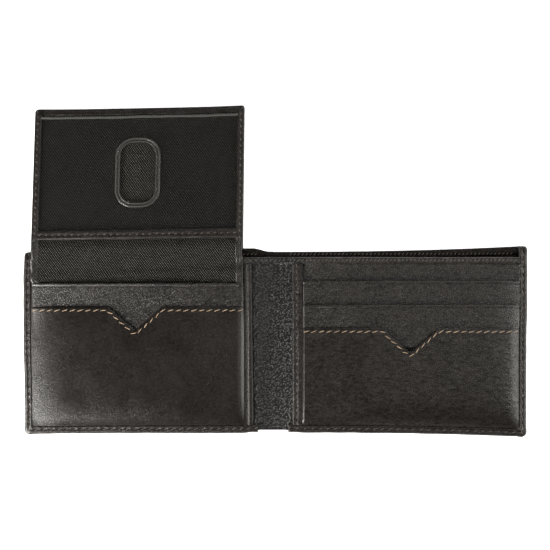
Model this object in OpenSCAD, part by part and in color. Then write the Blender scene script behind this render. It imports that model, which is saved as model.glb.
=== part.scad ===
// Two-fold leather wallet with a flip-up identity-card flap, lying open with its inside up.
// Millimetres. Origin at the middle of the spine's underside: +X right, +Y to the flap, +Z up.

/* [Shell] */
// reach of the left leaf from the spine's middle
reach_left = 118.8; // [110:0.1:125]
// reach of the right leaf from the spine's middle
reach_right = 120.7; // [110:0.1:125]
// half of the leaf's height
half_h = 43.9; // [40:0.1:48]
// outer corner radius of the leaves
corner_r = 2.3; // [1:0.1:6]
// thickness of the shell leather
shell_t = 1.1; // [0.8:0.1:1.6]
// thickness of the twill lining
lining_t = 0.3; // [0.2:0.05:0.5]
// height of the turned hem along the shell's top edge
shell_hem_h = 3.6; // [2:0.1:6]
// thickness of the turned hems
hem_t = 0.6; // [0.3:0.1:1]

/* [Bill compartment] */
// clear gap for banknotes between shell and inner panel
bill_gap = 1.2; // [0.8:0.1:3]
// thickness of the panel and pocket leather
panel_t = 0.6; // [0.5:0.1:1]
// top edge of the inner panel
panel_top = 40.3; // [36:0.1:42]
// height of the hem along the inner panel's top edge
panel_hem_h = 3.1; // [2:0.1:5]

/* [Bindings] */
// width of the turned edges round the leaves
binding_w = 4.0; // [3:0.1:6]
// how far the turned edges stand above the inner panel
binding_rise = 0.7; // [0.3:0.1:1.2]
// inner edge of the two gutter strips
gutter_in = 9.4; // [8:0.1:12]
// outer edge of the two gutter strips
gutter_out = 13.8; // [12:0.1:16]

/* [Pockets] */
// clear gap that takes one card
card_gap = 0.9; // [0.8:0.1:1.5]
// width of the stitched margin of each pocket
seam_w = 1.0; // [0.8:0.1:2]
// height of the leather band at the mouth of each card slot
slot_band = 20; // [14:1:30]
// mouth of the upper card slot on the right leaf
slot_upper_top = 28.8; // [20:0.1:34]
// mouth of the lower card slot on the right leaf
slot_lower_top = 17.3; // [10:0.1:24]
// mouth of the slip pocket on the left leaf
slip_top = 27.8; // [20:0.1:34]
// thickness of the notched pockets
notched_t = 0.7; // [0.6:0.1:1.2]
// mouth of the notched pocket on the left leaf
notched_left_top = 16.3; // [10:0.1:22]
// mouth of the notched pocket on the right leaf
notched_right_top = 6.2; // [0:0.1:12]
// distance of the left thumb notch from the spine's middle
notch_left_x = 65.8; // [60:0.1:70]
// distance of the right thumb notch from the spine's middle
notch_right_x = 65.2; // [60:0.1:70]
// half of the width of a thumb notch
notch_half = 12.4; // [8:0.1:16]
// depth of a thumb notch
notch_depth = 10.8; // [6:0.1:16]

/* [Spine] */
// distance of each fold line from the spine's middle
fold_x = 6.0; // [4:0.1:9]
// height of the fold lines
fold_z = 3.7; // [3:0.1:5]
// half of the gap between two pieces at a fold line
fold_gap = 0.15; // [0.1:0.05:0.4]
// lower edge of the spine, below its middle
spine_low = 42.2; // [40:0.1:44]

/* [Identity flap] */
// outer edge of the flap
flap_out = 114.5; // [108:0.1:118]
// inner edge of the flap
flap_in = 14.2; // [12:0.1:18]
// first fold line of the flap
flap_fold_1 = 37.4; // [34:0.1:40]
// length of the narrow strip between the flap's two fold lines
flap_step = 4.6; // [4:0.1:6]
// height of the flap's fold lines
flap_fold_z = 4.8; // [4.4:0.1:5.4]
// length of the flap beyond its second fold line
flap_len = 70.3; // [60:0.1:80]
// angle by which the opened flap slopes down to the table
flap_tilt = 2.86; // [0:0.01:4]
// width of the flap's side bindings
flap_bind_w = 3.4; // [2:0.1:5]
// height of the flap's far binding
flap_bind_far = 2.8; // [2:0.1:5]
// start of the flap's foot strip, from the second fold line
foot_from = 6.9; // [5:0.1:10]
// height of the flap's foot strip
foot_h = 4.6; // [3:0.1:6]
// thickness of the clear window film
film_t = 0.4; // [0.2:0.05:0.6]
// distance of the film's free edge from the flap's far edge
film_short = 4.1; // [3:0.1:8]
// centre of the thumb hole, from the second fold line
hole_y = 39.0; // [30:0.1:50]
// distance of the thumb hole from the spine's middle
hole_x = 64.7; // [60:0.1:70]
// width of the thumb hole
hole_w = 16.5; // [12:0.1:22]
// height of the thumb hole
hole_h = 28.8; // [20:0.1:34]
// corner radius of the thumb hole
hole_r = 6.0; // [3:0.1:8]
// width of the pressed rim round the thumb hole
rim_w = 2.4; // [1:0.1:4]

/* [Thread] */
// width of a seam's thread
thread_w = 0.5; // [0.3:0.1:1]
// height of a seam's thread
thread_t = 0.2; // [0.1:0.05:0.4]
// distance of the pocket seams from the pocket's mouth
mouth_seam = 1.6; // [1:0.1:3]

/* [Hidden] */
leather = [0.14, 0.12, 0.11];
leather_low = [0.11, 0.1, 0.09];
twill = [0.1, 0.1, 0.09];
film = [0.75, 0.78, 0.78, 0.35];
tan_thread = [0.72, 0.56, 0.38];
dark_thread = [0.2, 0.16, 0.13];
$fn = 48;
eps = 0.1;
lining_top = shell_t + lining_t;
panel_lining_z = lining_top + bill_gap;
panel_z = panel_lining_z + lining_t;
deck = panel_z + panel_t;
bind_top = deck + binding_rise;
foot = -half_h + binding_w;
stack_out_left = reach_left - binding_w - eps;
stack_out_right = reach_right - binding_w - eps;
stack_in = gutter_out + eps;
stack_in_right = stack_in + 0.3;
leaf_in = fold_x + fold_gap;
spine_half = fold_x - fold_gap;
bar_in = fold_x + 0.8;
hem_in = fold_x + 0.6;
tab_t = 0.5;
tab_top = deck + tab_t + lining_t;
tab_low = 22;
slip_z = tab_top + card_gap;
notched_left_z = slip_z + panel_t + card_gap;
slot_upper_z = deck + card_gap;
slot_lower_z = slot_upper_z + panel_t + card_gap;
notched_right_z = slot_lower_z + panel_t + card_gap;
fold_2 = flap_fold_1 + flap_step;
clear_fold = 0.1;
flap_clear = 0.3;
flap_back_z = flap_fold_z - 1.0;
flap_lining_z = flap_back_z + panel_t;
flap_bed = flap_lining_z + lining_t;
film_z = flap_bed + card_gap;
flap_top = film_z + film_t + 0.2;
flap_far = fold_2 + flap_len;
inner_out = flap_out - flap_bind_w;
inner_in = flap_in + flap_bind_w;
foot_y = fold_2 + foot_from;
film_y = foot_y + foot_h;

// a flat piece between two distances from the spine, on the side s (1 right, -1 left)
module sheet_on(s, x0, x1, y0, y1, z, t) {
    translate([s > 0 ? x0 : -x1, y0, z])
        cube([x1 - x0, y1 - y0, t]);
}

// a leaf's outline from the fold line to its outer edge, with rounded outer corners
module leaf_outline(s, x0, reach) {
    translate([s > 0 ? x0 : -(reach - corner_r), -half_h])
        square([reach - corner_r - x0, 2 * half_h]);
    translate([s > 0 ? x0 : -reach, -half_h + corner_r])
        square([reach - x0, 2 * (half_h - corner_r)]);
    for (e = [-1, 1])
        translate([s * (reach - corner_r), e * (half_h - corner_r)])
            circle(r = corner_r);
}

module shell_leaf(s, reach) {
    color(leather) linear_extrude(shell_t) leaf_outline(s, leaf_in, reach);
}

// the turned edge down a leaf's outer side, mitred at its lower corner
module side_binding(s, reach) {
    color(leather)
        translate([0, 0, shell_t])
            linear_extrude(bind_top - shell_t)
                intersection() {
                    leaf_outline(s, leaf_in, reach);
                    polygon([[s * (reach - binding_w), half_h],
                        [s * (reach + binding_w), half_h],
                        [s * (reach + binding_w), -half_h - binding_w],
                        [s * (reach - binding_w), foot]]);
                }
}

// the turned edge along a leaf's lower side, mitred at its outer corner
module foot_binding(s, reach) {
    color(leather)
        translate([0, 0, shell_t])
            linear_extrude(bind_top - shell_t)
                intersection() {
                    leaf_outline(s, leaf_in, reach);
                    polygon([[s * bar_in, foot], [s * (reach - binding_w), foot],
                        [s * reach, -half_h], [s * bar_in, -half_h]]);
                }
}

// a pocket face with a thumb notch in its mouth
module notched_face(s, x0, x1, x, top, z) {
    color(leather)
        translate([0, 0, z])
            linear_extrude(notched_t)
                polygon([[s * x0, foot], [s * x1, foot], [s * x1, top],
                    [s * (x + notch_half), top], [s * x, top - notch_depth],
                    [s * (x - notch_half), top], [s * x0, top]]);
}

// the seam that follows a notched pocket's mouth
module mouth_thread(s, x0, x1, x, top, z) {
    y = top - mouth_seam;
    half = notch_half + mouth_seam * 0.6;
    color(tan_thread)
        translate([0, 0, z])
            linear_extrude(thread_t)
                polygon([[s * x0, y], [s * (x - half), y], [s * x, y - notch_depth],
                    [s * (x + half), y], [s * x1, y], [s * x1, y - thread_w],
                    [s * (x + half + thread_w / 2), y - thread_w],
                    [s * x, y - notch_depth - 1.5 * thread_w],
                    [s * (x - half - thread_w / 2), y - thread_w], [s * x0, y - thread_w]]);
}

// the stitched margins of one pocket layer: outer side, inner side and foot
module seam_set(s, x0, x1, top, z, t) {
    color(leather_low) {
        sheet_on(s, x0, x0 + seam_w, foot, top, z, t);
        sheet_on(s, x1 - seam_w, x1, foot, top, z, t);
        sheet_on(s, x0 + seam_w + eps, x1 - seam_w - eps, foot, foot + seam_w, z, t);
    }
}

// the seam round a leaf's outer and lower edges
module edge_thread(s, reach) {
    x = reach - binding_w / 2;
    y = -half_h + binding_w / 2;
    color(dark_thread) {
        sheet_on(s, x - thread_w, x, y + thread_w, half_h - corner_r, bind_top, thread_t);
        sheet_on(s, bar_in + 1, x, y, y + thread_w, bind_top, thread_t);
    }
}

module in_flap() {
    translate([0, fold_2, flap_fold_z])
        rotate([-flap_tilt, 0, 0])
            translate([0, -fold_2, -flap_fold_z])
                children();
}

module round_slot(w, h, r) {
    square([w - 2 * r, h], center = true);
    square([w, h - 2 * r], center = true);
    for (e = [-1, 1], f = [-1, 1])
        translate([e * (w / 2 - r), f * (h / 2 - r)])
            circle(r = r);
}

// left leaf
module shell_left() shell_leaf(-1, reach_left);

module shell_lining_left() {
    color(twill)
        sheet_on(-1, leaf_in, stack_out_left, foot + eps, panel_top - eps, shell_t, lining_t);
}

module shell_hem_left() {
    color(leather)
        sheet_on(-1, hem_in, stack_out_left, half_h - shell_hem_h, half_h, shell_t, hem_t);
}

module edge_binding_left() side_binding(-1, reach_left);

module bottom_binding_left() foot_binding(-1, reach_left);

module panel_left() {
    color(leather)
        sheet_on(-1, leaf_in, stack_out_left + eps, foot, panel_top, panel_z, panel_t);
}

module panel_lining_left() {
    color(twill)
        sheet_on(-1, leaf_in, stack_out_left, foot + eps, panel_top - hem_t,
            panel_lining_z, lining_t);
}

module panel_hem_left() {
    color(leather)
        sheet_on(-1, hem_in, gutter_out, panel_top - panel_hem_h, panel_top, deck, hem_t);
}

module gutter_strip_left() {
    color(leather)
        sheet_on(-1, gutter_in, gutter_out, foot, panel_top - panel_hem_h - eps,
            deck, binding_rise);
}

module flap_tab() {
    color(leather)
        sheet_on(-1, stack_in + seam_w + eps, stack_out_left - seam_w - eps, tab_low,
            flap_fold_1 - 3 * clear_fold, deck, tab_t);
}

module flap_tab_lining() {
    color(twill)
        sheet_on(-1, stack_in + seam_w + eps, stack_out_left - seam_w - eps, tab_low,
            flap_fold_1 - 3 * clear_fold, deck + tab_t, lining_t);
}

module pocket_seams_left() {
    seam_set(-1, stack_in, stack_out_left, slip_top, deck, slip_z - deck);
    seam_set(-1, stack_in, stack_out_left, notched_left_top, slip_z + panel_t, card_gap);
}

module slip_pocket_left() {
    color(leather)
        sheet_on(-1, stack_in, stack_out_left, foot, slip_top, slip_z, panel_t);
}

module notched_pocket_left() {
    notched_face(-1, stack_in, stack_out_left, notch_left_x, notched_left_top,
        notched_left_z);
}

module thread_edge_left() edge_thread(-1, reach_left);

module thread_gutter_left() {
    color(dark_thread)
        sheet_on(-1, gutter_out - 1.6, gutter_out - 1.1, foot + 1,
            panel_top - panel_hem_h - 1, bind_top, thread_t);
}

module thread_hem_left() {
    color(dark_thread) {
        sheet_on(-1, hem_in, gutter_out, panel_top - panel_hem_h / 2 - thread_w,
            panel_top - panel_hem_h / 2, deck + hem_t, thread_t);
        sheet_on(-1, hem_in, stack_out_left, half_h - 2 - thread_w, half_h - 2,
            shell_t + hem_t, thread_t);
    }
}

module thread_pocket_left() {
    mouth_thread(-1, stack_in, stack_out_left, notch_left_x, notched_left_top,
        notched_left_z + notched_t);
}

// spine
module shell_spine() {
    color(leather)
        translate([-spine_half, -spine_low, 0])
            cube([2 * spine_half, spine_low + half_h, shell_t]);
}

module shell_lining_spine() {
    color(twill)
        translate([-spine_half, foot + eps, shell_t])
            cube([2 * spine_half, panel_top - eps - foot - eps, lining_t]);
}

module shell_hem_spine() {
    color(leather)
        translate([-spine_half + 0.5, half_h - shell_hem_h, shell_t])
            cube([2 * spine_half - 1, shell_hem_h, hem_t]);
}

module gutter_panel() {
    color(leather)
        translate([-spine_half, -spine_low, panel_z])
            cube([2 * spine_half, spine_low + panel_top, panel_t]);
}

module gutter_lining() {
    color(twill)
        translate([-spine_half, foot + eps, panel_lining_z])
            cube([2 * spine_half, panel_top - hem_t - foot - eps, lining_t]);
}

module gutter_hem() {
    color(leather)
        translate([-hem_in + 1.2, panel_top - panel_hem_h, deck])
            cube([2 * (hem_in - 1.2), panel_hem_h, hem_t]);
}

module spine_foot_seam() {
    color(leather_low)
        translate([-spine_half, -spine_low, shell_t])
            cube([2 * spine_half, foot + spine_low, panel_z - shell_t]);
}

module thread_hem_spine() {
    color(dark_thread) {
        translate([-hem_in + 1.2, panel_top - panel_hem_h / 2 - thread_w, deck + hem_t])
            cube([2 * (hem_in - 1.2), thread_w, thread_t]);
        translate([-spine_half + 0.5, half_h - 2 - thread_w, shell_t + hem_t])
            cube([2 * spine_half - 1, thread_w, thread_t]);
    }
}

// right leaf
module shell_right() shell_leaf(1, reach_right);

module shell_lining_right() {
    color(twill)
        sheet_on(1, leaf_in, stack_out_right, foot + eps, panel_top - eps, shell_t, lining_t);
}

module shell_hem_right() {
    color(leather)
        sheet_on(1, hem_in, stack_out_right, half_h - shell_hem_h, half_h, shell_t, hem_t);
}

module edge_binding_right() side_binding(1, reach_right);

module bottom_binding_right() foot_binding(1, reach_right);

module panel_right() {
    color(leather)
        sheet_on(1, leaf_in, stack_out_right + eps, foot, panel_top, panel_z, panel_t);
}

module panel_lining_right() {
    color(twill)
        sheet_on(1, leaf_in, stack_out_right, foot + eps, panel_top - hem_t,
            panel_lining_z, lining_t);
}

module panel_hem_right() {
    color(leather)
        sheet_on(1, hem_in, stack_out_right, panel_top - panel_hem_h, panel_top, deck, hem_t);
}

module gutter_strip_right() {
    color(leather)
        sheet_on(1, gutter_in, stack_in_right - eps, foot, panel_top - panel_hem_h - eps,
            deck, binding_rise);
}

module pocket_seams_right() {
    seam_set(1, stack_in_right, stack_out_right, slot_upper_top, deck, card_gap);
    seam_set(1, stack_in_right, stack_out_right, slot_lower_top, slot_upper_z + panel_t,
        card_gap);
    seam_set(1, stack_in_right, stack_out_right, notched_right_top,
        slot_lower_z + panel_t, card_gap);
}

module slot_upper_right() {
    color(leather)
        sheet_on(1, stack_in_right, stack_out_right, slot_upper_top - slot_band,
            slot_upper_top, slot_upper_z, panel_t);
}

module slot_upper_lining_right() {
    color(twill)
        sheet_on(1, stack_in_right, stack_out_right, foot, slot_upper_top - slot_band,
            slot_upper_z, panel_t);
}

module slot_lower_right() {
    color(leather)
        sheet_on(1, stack_in_right, stack_out_right, slot_lower_top - slot_band,
            slot_lower_top, slot_lower_z, panel_t);
}

module slot_lower_lining_right() {
    color(twill)
        sheet_on(1, stack_in_right, stack_out_right, foot, slot_lower_top - slot_band,
            slot_lower_z, panel_t);
}

module notched_pocket_right() {
    notched_face(1, stack_in_right, stack_out_right, notch_right_x, notched_right_top,
        notched_right_z);
}

module thread_edge_right() edge_thread(1, reach_right);

module thread_gutter_right() {
    color(dark_thread)
        sheet_on(1, gutter_out - 1.6, gutter_out - 1.1, foot + 1,
            panel_top - panel_hem_h - 1, bind_top, thread_t);
}

module thread_hem_right() {
    color(dark_thread) {
        sheet_on(1, hem_in, stack_out_right, panel_top - panel_hem_h / 2 - thread_w,
            panel_top - panel_hem_h / 2, deck + hem_t, thread_t);
        sheet_on(1, hem_in, stack_out_right, half_h - 2 - thread_w, half_h - 2,
            shell_t + hem_t, thread_t);
    }
}

module thread_pocket_right() {
    mouth_thread(1, stack_in_right, stack_out_right, notch_right_x, notched_right_top,
        notched_right_z + notched_t);
}

// the flap's narrow hinge strip
module fold_strip() {
    color(leather)
        sheet_on(-1, stack_in + seam_w, stack_out_left - seam_w, flap_fold_1 + clear_fold,
            fold_2 - clear_fold, flap_back_z, 0.5);
}

module fold_strip_lining() {
    color(twill)
        sheet_on(-1, stack_in + seam_w, stack_out_left - seam_w, flap_fold_1 + clear_fold,
            fold_2 - clear_fold, flap_back_z + 0.5, lining_t);
}

// identity flap
module flap_back() {
    color(leather)
        in_flap()
            sheet_on(-1, flap_in, flap_out, fold_2 + flap_clear, flap_far, flap_back_z,
                panel_t);
}

module flap_lining() {
    color(twill)
        in_flap()
            sheet_on(-1, inner_in + eps, inner_out - eps, fold_2 + 2 * flap_clear,
                flap_far - flap_bind_far - eps, flap_lining_z, lining_t);
}

module flap_window() {
    color(film)
        in_flap()
            difference() {
                sheet_on(-1, inner_in, inner_out, film_y, flap_far - film_short, film_z,
                    film_t);
                translate([-hole_x, fold_2 + hole_y, film_z - 1])
                    linear_extrude(film_t + 2)
                        round_slot(hole_w, hole_h, hole_r);
            }
}

module thumb_rim() {
    color(film)
        in_flap()
            translate([-hole_x, fold_2 + hole_y, film_z + film_t])
                linear_extrude(0.2)
                    difference() {
                        round_slot(hole_w + 2 * rim_w, hole_h + 2 * rim_w, hole_r + rim_w);
                        round_slot(hole_w, hole_h, hole_r);
                    }
}

module flap_binding_left() {
    color(leather)
        in_flap()
            sheet_on(-1, inner_out, flap_out, fold_2 + 4 * flap_clear,
                flap_far - flap_bind_far - eps, flap_lining_z, flap_top - flap_lining_z);
}

module flap_binding_right() {
    color(leather)
        in_flap()
            sheet_on(-1, flap_in, inner_in, fold_2 + 4 * flap_clear,
                flap_far - flap_bind_far - eps, flap_lining_z, flap_top - flap_lining_z);
}

module flap_binding_far() {
    color(leather)
        in_flap()
            sheet_on(-1, flap_in, flap_out, flap_far - flap_bind_far, flap_far,
                flap_lining_z, lining_t);
}

module flap_foot_strip() {
    color(leather)
        in_flap()
            sheet_on(-1, inner_in + eps, inner_out - eps, foot_y, film_y - eps, flap_bed,
                flap_top - flap_bed);
}

module thread_flap() {
    color(dark_thread)
        in_flap() {
            for (x = [flap_in + flap_bind_w / 2, flap_out - flap_bind_w / 2 - thread_w])
                sheet_on(-1, x, x + thread_w, fold_2 + 3, flap_far - flap_bind_far - 1,
                    flap_top, thread_t);
            sheet_on(-1, inner_in + 1, inner_out - 1, foot_y + foot_h / 2,
                foot_y + foot_h / 2 + thread_w, flap_top, thread_t);
        }
}

shell_left();
shell_lining_left();
shell_hem_left();
edge_binding_left();
bottom_binding_left();
panel_left();
panel_lining_left();
panel_hem_left();
gutter_strip_left();
flap_tab();
flap_tab_lining();
pocket_seams_left();
slip_pocket_left();
notched_pocket_left();
thread_edge_left();
thread_gutter_left();
thread_hem_left();
thread_pocket_left();
shell_spine();
shell_lining_spine();
shell_hem_spine();
gutter_panel();
gutter_lining();
gutter_hem();
spine_foot_seam();
thread_hem_spine();
shell_right();
shell_lining_right();
shell_hem_right();
edge_binding_right();
bottom_binding_right();
panel_right();
panel_lining_right();
panel_hem_right();
gutter_strip_right();
pocket_seams_right();
slot_upper_right();
slot_upper_lining_right();
slot_lower_right();
slot_lower_lining_right();
notched_pocket_right();
thread_edge_right();
thread_gutter_right();
thread_hem_right();
thread_pocket_right();
fold_strip();
fold_strip_lining();
flap_back();
flap_lining();
flap_window();
thumb_rim();
flap_binding_left();
flap_binding_right();
flap_binding_far();
flap_foot_strip();
thread_flap();
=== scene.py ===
"""A slim leather wallet lying open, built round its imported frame.

Laid out as an add-on and run as a script. Sizes in the code are millimetres until a mesh is
made: +X runs to the right leaf, +Y to the flap and +Z out of the wallet's inside.
"""

import math
from dataclasses import dataclass
from functools import partial

import bmesh
import bpy
from bpy.props import FloatProperty, FloatVectorProperty, PointerProperty
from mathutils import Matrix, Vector, noise


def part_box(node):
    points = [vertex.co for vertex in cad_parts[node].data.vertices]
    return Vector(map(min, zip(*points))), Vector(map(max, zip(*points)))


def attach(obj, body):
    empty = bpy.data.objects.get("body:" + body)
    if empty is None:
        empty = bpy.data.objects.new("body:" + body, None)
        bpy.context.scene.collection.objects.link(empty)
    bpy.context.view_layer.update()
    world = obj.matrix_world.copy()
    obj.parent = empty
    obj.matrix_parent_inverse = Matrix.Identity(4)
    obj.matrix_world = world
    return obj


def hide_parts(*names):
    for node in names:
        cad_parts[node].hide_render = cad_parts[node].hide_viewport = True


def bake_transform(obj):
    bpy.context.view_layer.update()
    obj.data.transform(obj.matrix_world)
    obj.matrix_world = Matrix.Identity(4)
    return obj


bl_info = {
    "name": "Open leather wallet", "version": (1, 0, 0), "blender": (4, 5, 0),
    "location": "3D View > Sidebar > Wallet",
    "description": "Builds a leather wallet with a flip-up identity window, piece by piece",
    "category": "Object",
}

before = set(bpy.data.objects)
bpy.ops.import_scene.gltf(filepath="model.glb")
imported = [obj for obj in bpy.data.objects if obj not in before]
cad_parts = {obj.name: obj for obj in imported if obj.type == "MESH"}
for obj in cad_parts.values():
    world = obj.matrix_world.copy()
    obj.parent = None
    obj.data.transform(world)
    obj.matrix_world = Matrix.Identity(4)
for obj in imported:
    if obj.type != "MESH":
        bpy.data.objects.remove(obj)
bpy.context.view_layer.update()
MM = 0.001


def mm_box(node):
    """A frame node's lowest and highest corners in millimetres."""
    low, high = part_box(node)
    return Vector(low) / MM, Vector(high) / MM


def linear(code):
    """An sRGB hex colour as the linear colour a shader takes."""
    out = []
    for k in (1, 3, 5):
        c = int(code[k : k + 2], 16) / 255
        out.append(c / 12.92 if c <= 0.04045 else ((c + 0.055) / 1.055) ** 2.4)
    return tuple(out)


# ---------------------------------------------------------------- sizes the pieces share

SHELL_L, SHELL_R = mm_box("shell_left"), mm_box("shell_right")
REACH = {-1: -SHELL_L[0].x, 1: SHELL_R[1].x}
HALF_H = SHELL_R[1].y
PANEL = mm_box("panel_right")
DECK = PANEL[1].z
FOOT = PANEL[0].y
PANEL_TOP = PANEL[1].y
BINDING = REACH[1] - mm_box("edge_binding_right")[0].x
FOLD_X, FOLD_Z = 6.0, 3.7
FLAP_FOLD_1, FLAP_FOLD_2, FLAP_FOLD_Z = 37.4, 42.0, 4.8
FLAP_TILT = math.radians(2.86)
SPINE_LOW = -mm_box("shell_spine")[0].y
GUTTER_IN, GUTTER_OUT = 9.4, 13.8
PANEL_HEM, SHELL_HEM = 3.1, 4.0  # how wide each top edge is turned over
HEM_RISE = 0.5  # how far the inner panel rises where its edge is turned over
ON_DECK = 3.66  # what lies on the inner panel begins here
EDGE_SEAM, EDGE_PITCH = 1.8, 3.6  # the leaves' outer seam: its way in and its pitch
STRIP_SEAM = {-1: 2.6, 1: 1.9}  # the gutter strips' seam: its way in
POCKET_LEATHER, SLOT_TWILL = 0.65, 0.3  # thicknesses
FLAP_LEATHER, FLAP_TWILL = 0.42, 0.24  # thicknesses, skived thin to fold


def length(name, description, default):
    """A length among the wallet's settings."""
    return FloatProperty(name=name, description=description, default=default, unit="LENGTH")


def tint(name, description, code):
    """A colour among the wallet's settings, from its sRGB hex code."""
    return FloatVectorProperty(
        name=name, description=description, default=linear(code), subtype="COLOR"
    )


class WalletSizes(bpy.types.PropertyGroup):
    """Sizes a maker would change."""

    grain: length("Leather grain", "Width of one grain cell", 0.001)
    pebble: length("Gutter pebble", "Width of one pebble of the gutter leather", 0.00078)
    twill_pitch: length("Twill pitch", "Distance between two twill ribs", 0.0008)
    stitch_pitch: length("Contrast pitch", "Distance between two contrast stitches", 0.0036)
    stitch_length: length("Contrast length", "Length of one contrast stitch", 0.0031)
    thread: length("Thread thickness", "Thickness of the contrast thread", 0.00042)


class WalletColours(bpy.types.PropertyGroup):
    """Colours a maker would change."""

    leather: tint("Leather", "Dyed nappa", "#15110e")
    gutter: tint("Gutter leather", "Pebbled leather of the spine", "#0d0c0b")
    twill: tint("Lining", "Black twill", "#201f1b")
    accent: tint("Contrast thread", "Tan thread", "#8f7a62")
    seam: tint("Seam thread", "Brown thread of the edge seams", "#423932")
    film: tint("Window film", "Clear soft vinyl", "#171717")
    floor: tint("Floor", "Pale floor", "#f8f8f8")


# ---------------------------------------------------------------- materials


def add(tree, kind, values=None, **settings):
    """Adds a node with its settings, values and links. A node given as a value is linked by its
    first output in use."""
    node = tree.nodes.new(kind)
    for key, value in settings.items():
        setattr(node, key, value)
    for socket, value in (values or {}).items():
        if isinstance(value, bpy.types.Node):
            value = next(out for out in value.outputs if out.enabled)
        if isinstance(value, bpy.types.NodeSocket):
            tree.links.new(value, node.inputs[socket])
        else:
            node.inputs[socket].default_value = value
    return node


def new_material(name):
    """An empty node material, what adds nodes to it, and the object coordinates it works on."""
    made = bpy.data.materials.new(name)
    made.use_nodes = True
    made.node_tree.nodes.clear()
    put = partial(add, made.node_tree)
    return made, put, put("ShaderNodeTexCoord").outputs["Object"]


def shaded(put, colour, share):
    """A colour made lighter and darker by a share that varies over the piece."""
    return put(
        "ShaderNodeMix", {0: 1.0, 6: colour, 7: share}, data_type="RGBA", blend_type="MULTIPLY"
    )


def nappa(name, colour, cell, depth, rough, wax, drawn_share=0.6, pebbled=False):
    """Aniline-dyed calf nappa, milled and waxed: near-black brown, with fine grain cells parted
    by thin creases, slanting draw wrinkles, and a soft gloss that breaks up on the grain. Real
    grain cells are about 0.5 mm; they are drawn about twice as coarse, so that they show."""
    made, put, where = new_material(name)
    drift = put("ShaderNodeTexNoise", {"Vector": where, "Scale": 300.0, "Detail": 3.0})
    bent = put("ShaderNodeMix", {
        0: 0.0008, 4: where, 5: drift.outputs["Color"],
    }, data_type="VECTOR")
    cells = put("ShaderNodeTexVoronoi", {
        "Vector": bent, "Scale": 1.0 / cell,
    }, feature="F1" if pebbled else "DISTANCE_TO_EDGE")
    # pebbles are round on top and parted by wide valleys; cells are flat, parted by thin creases
    crease = put("ShaderNodeMapRange", {
        "Value": cells, "From Min": 0.74 if pebbled else 0.0, "From Max": 0.0 if pebbled else 0.35,
    }, interpolation_type="SMOOTHSTEP")
    drawn = put("ShaderNodeMapping", {
        "Vector": where, "Rotation": (0, 0, 0.9), "Scale": (0.5, 1.2, 1.0),
    })
    wrinkles = put("ShaderNodeTexNoise", {
        "Vector": drawn, "Scale": 0.68 / cell, "Detail": 2.5, "Roughness": 0.5, "Distortion": 0.8,
    })
    pores = put("ShaderNodeTexNoise", {
        "Vector": where, "Scale": 1.1 / cell, "Detail": 3.0, "Roughness": 0.6,
    })
    grain = put("ShaderNodeMix", {0: drawn_share, 2: crease, 3: wrinkles}, data_type="FLOAT")
    mixed = put("ShaderNodeMix", {0: 0.22, 2: grain, 3: pores}, data_type="FLOAT")
    height = put("ShaderNodeMapRange", {"Value": mixed, "From Min": 0.28, "From Max": 0.74})
    bump = put("ShaderNodeBump", {"Height": height, "Distance": depth, "Strength": 1.0})
    cloud = put("ShaderNodeTexNoise", {
        "Vector": where, "Scale": 95.0, "Detail": 5.0, "Roughness": 0.6,
    })
    worn = put("ShaderNodeMapRange", {
        "Value": cloud, "From Min": 0.35, "From Max": 0.7, "To Min": 0.88, "To Max": 1.12,
    })
    tone = shaded(put, (*colour, 1.0), worn)
    # painted shade: the grain's creases are painted darker than its tops, where shade falls
    # between the cells
    painted_crease_shade = put("ShaderNodeMapRange", {"Value": height, "To Min": 0.3, "To Max": 1.25})
    tone = shaded(put, tone, painted_crease_shade)
    gloss = put("ShaderNodeMapRange", {
        "Value": cloud, "From Min": 0.3, "From Max": 0.7, "To Min": rough - 0.03,
        "To Max": rough + 0.04,
    })
    # the wax sits on the grain's tops, and its valleys are dull
    waxed = put("ShaderNodeMapRange", {"Value": height, "To Min": wax[0], "To Max": wax[1]})
    shader = put("ShaderNodeBsdfPrincipled", {
        "Base Color": tone, "Roughness": gloss, "IOR": 1.5, "Normal": bump,
        "Specular IOR Level": waxed,
    })
    put("ShaderNodeOutputMaterial", {"Surface": shader})
    return made


def twill_cloth(name, colour, pitch):
    """Black polyester twill lining: each float of the weave is painted as a small light dash on a
    dark ground, a painted highlight on the float and painted shade between, in rows at 45
    degrees, with a dull gloss. Real floats are 0.3 to 0.4 mm; they are drawn about twice as
    coarse, so that they show."""
    made, put, where = new_material(name)
    rows = []
    for turn, squeeze in ((0.78, 1.0), (-0.6, 0.8)):
        turned_way = put("ShaderNodeMapping", {"Vector": where, "Rotation": (0, 0, turn)})
        rows.append(
            put("ShaderNodeTexWave", {"Vector": turned_way, "Scale": 0.314 * squeeze / pitch,
              "Distortion": 0.5, "Detail": 2.0, "Detail Scale": 1.5}, bands_direction="X"),
        )
    floats = put("ShaderNodeMath", {
        0: rows[0].outputs["Fac"], 1: rows[1].outputs["Fac"],
    }, operation="MULTIPLY")
    bump = put("ShaderNodeBump", {"Height": floats, "Distance": 0.00025, "Strength": 1.0})
    uneven = put("ShaderNodeTexNoise", {"Vector": where, "Scale": 500.0, "Detail": 3.0})
    # painted highlight and painted shade: each float is painted light and the ground between the
    # floats dark
    painted_float_light = put("ShaderNodeMapRange", {
        "Value": floats, "From Min": 0.2, "From Max": 0.8, "To Min": 0.15, "To Max": 5.8,
    })
    strength = put("ShaderNodeMath", {0: painted_float_light, 1: uneven}, operation="MULTIPLY")
    tone = shaded(put, (*colour, 1.0), strength)
    sheen = put("ShaderNodeMapRange", {
        "Value": floats, "From Min": 0.2, "From Max": 0.8, "To Min": 0.02, "To Max": 0.6,
    })
    shader = put("ShaderNodeBsdfPrincipled", {
        "Base Color": tone, "Roughness": 0.45, "Normal": bump, "Specular IOR Level": sheen,
    })
    put("ShaderNodeOutputMaterial", {"Surface": shader})
    return made


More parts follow.
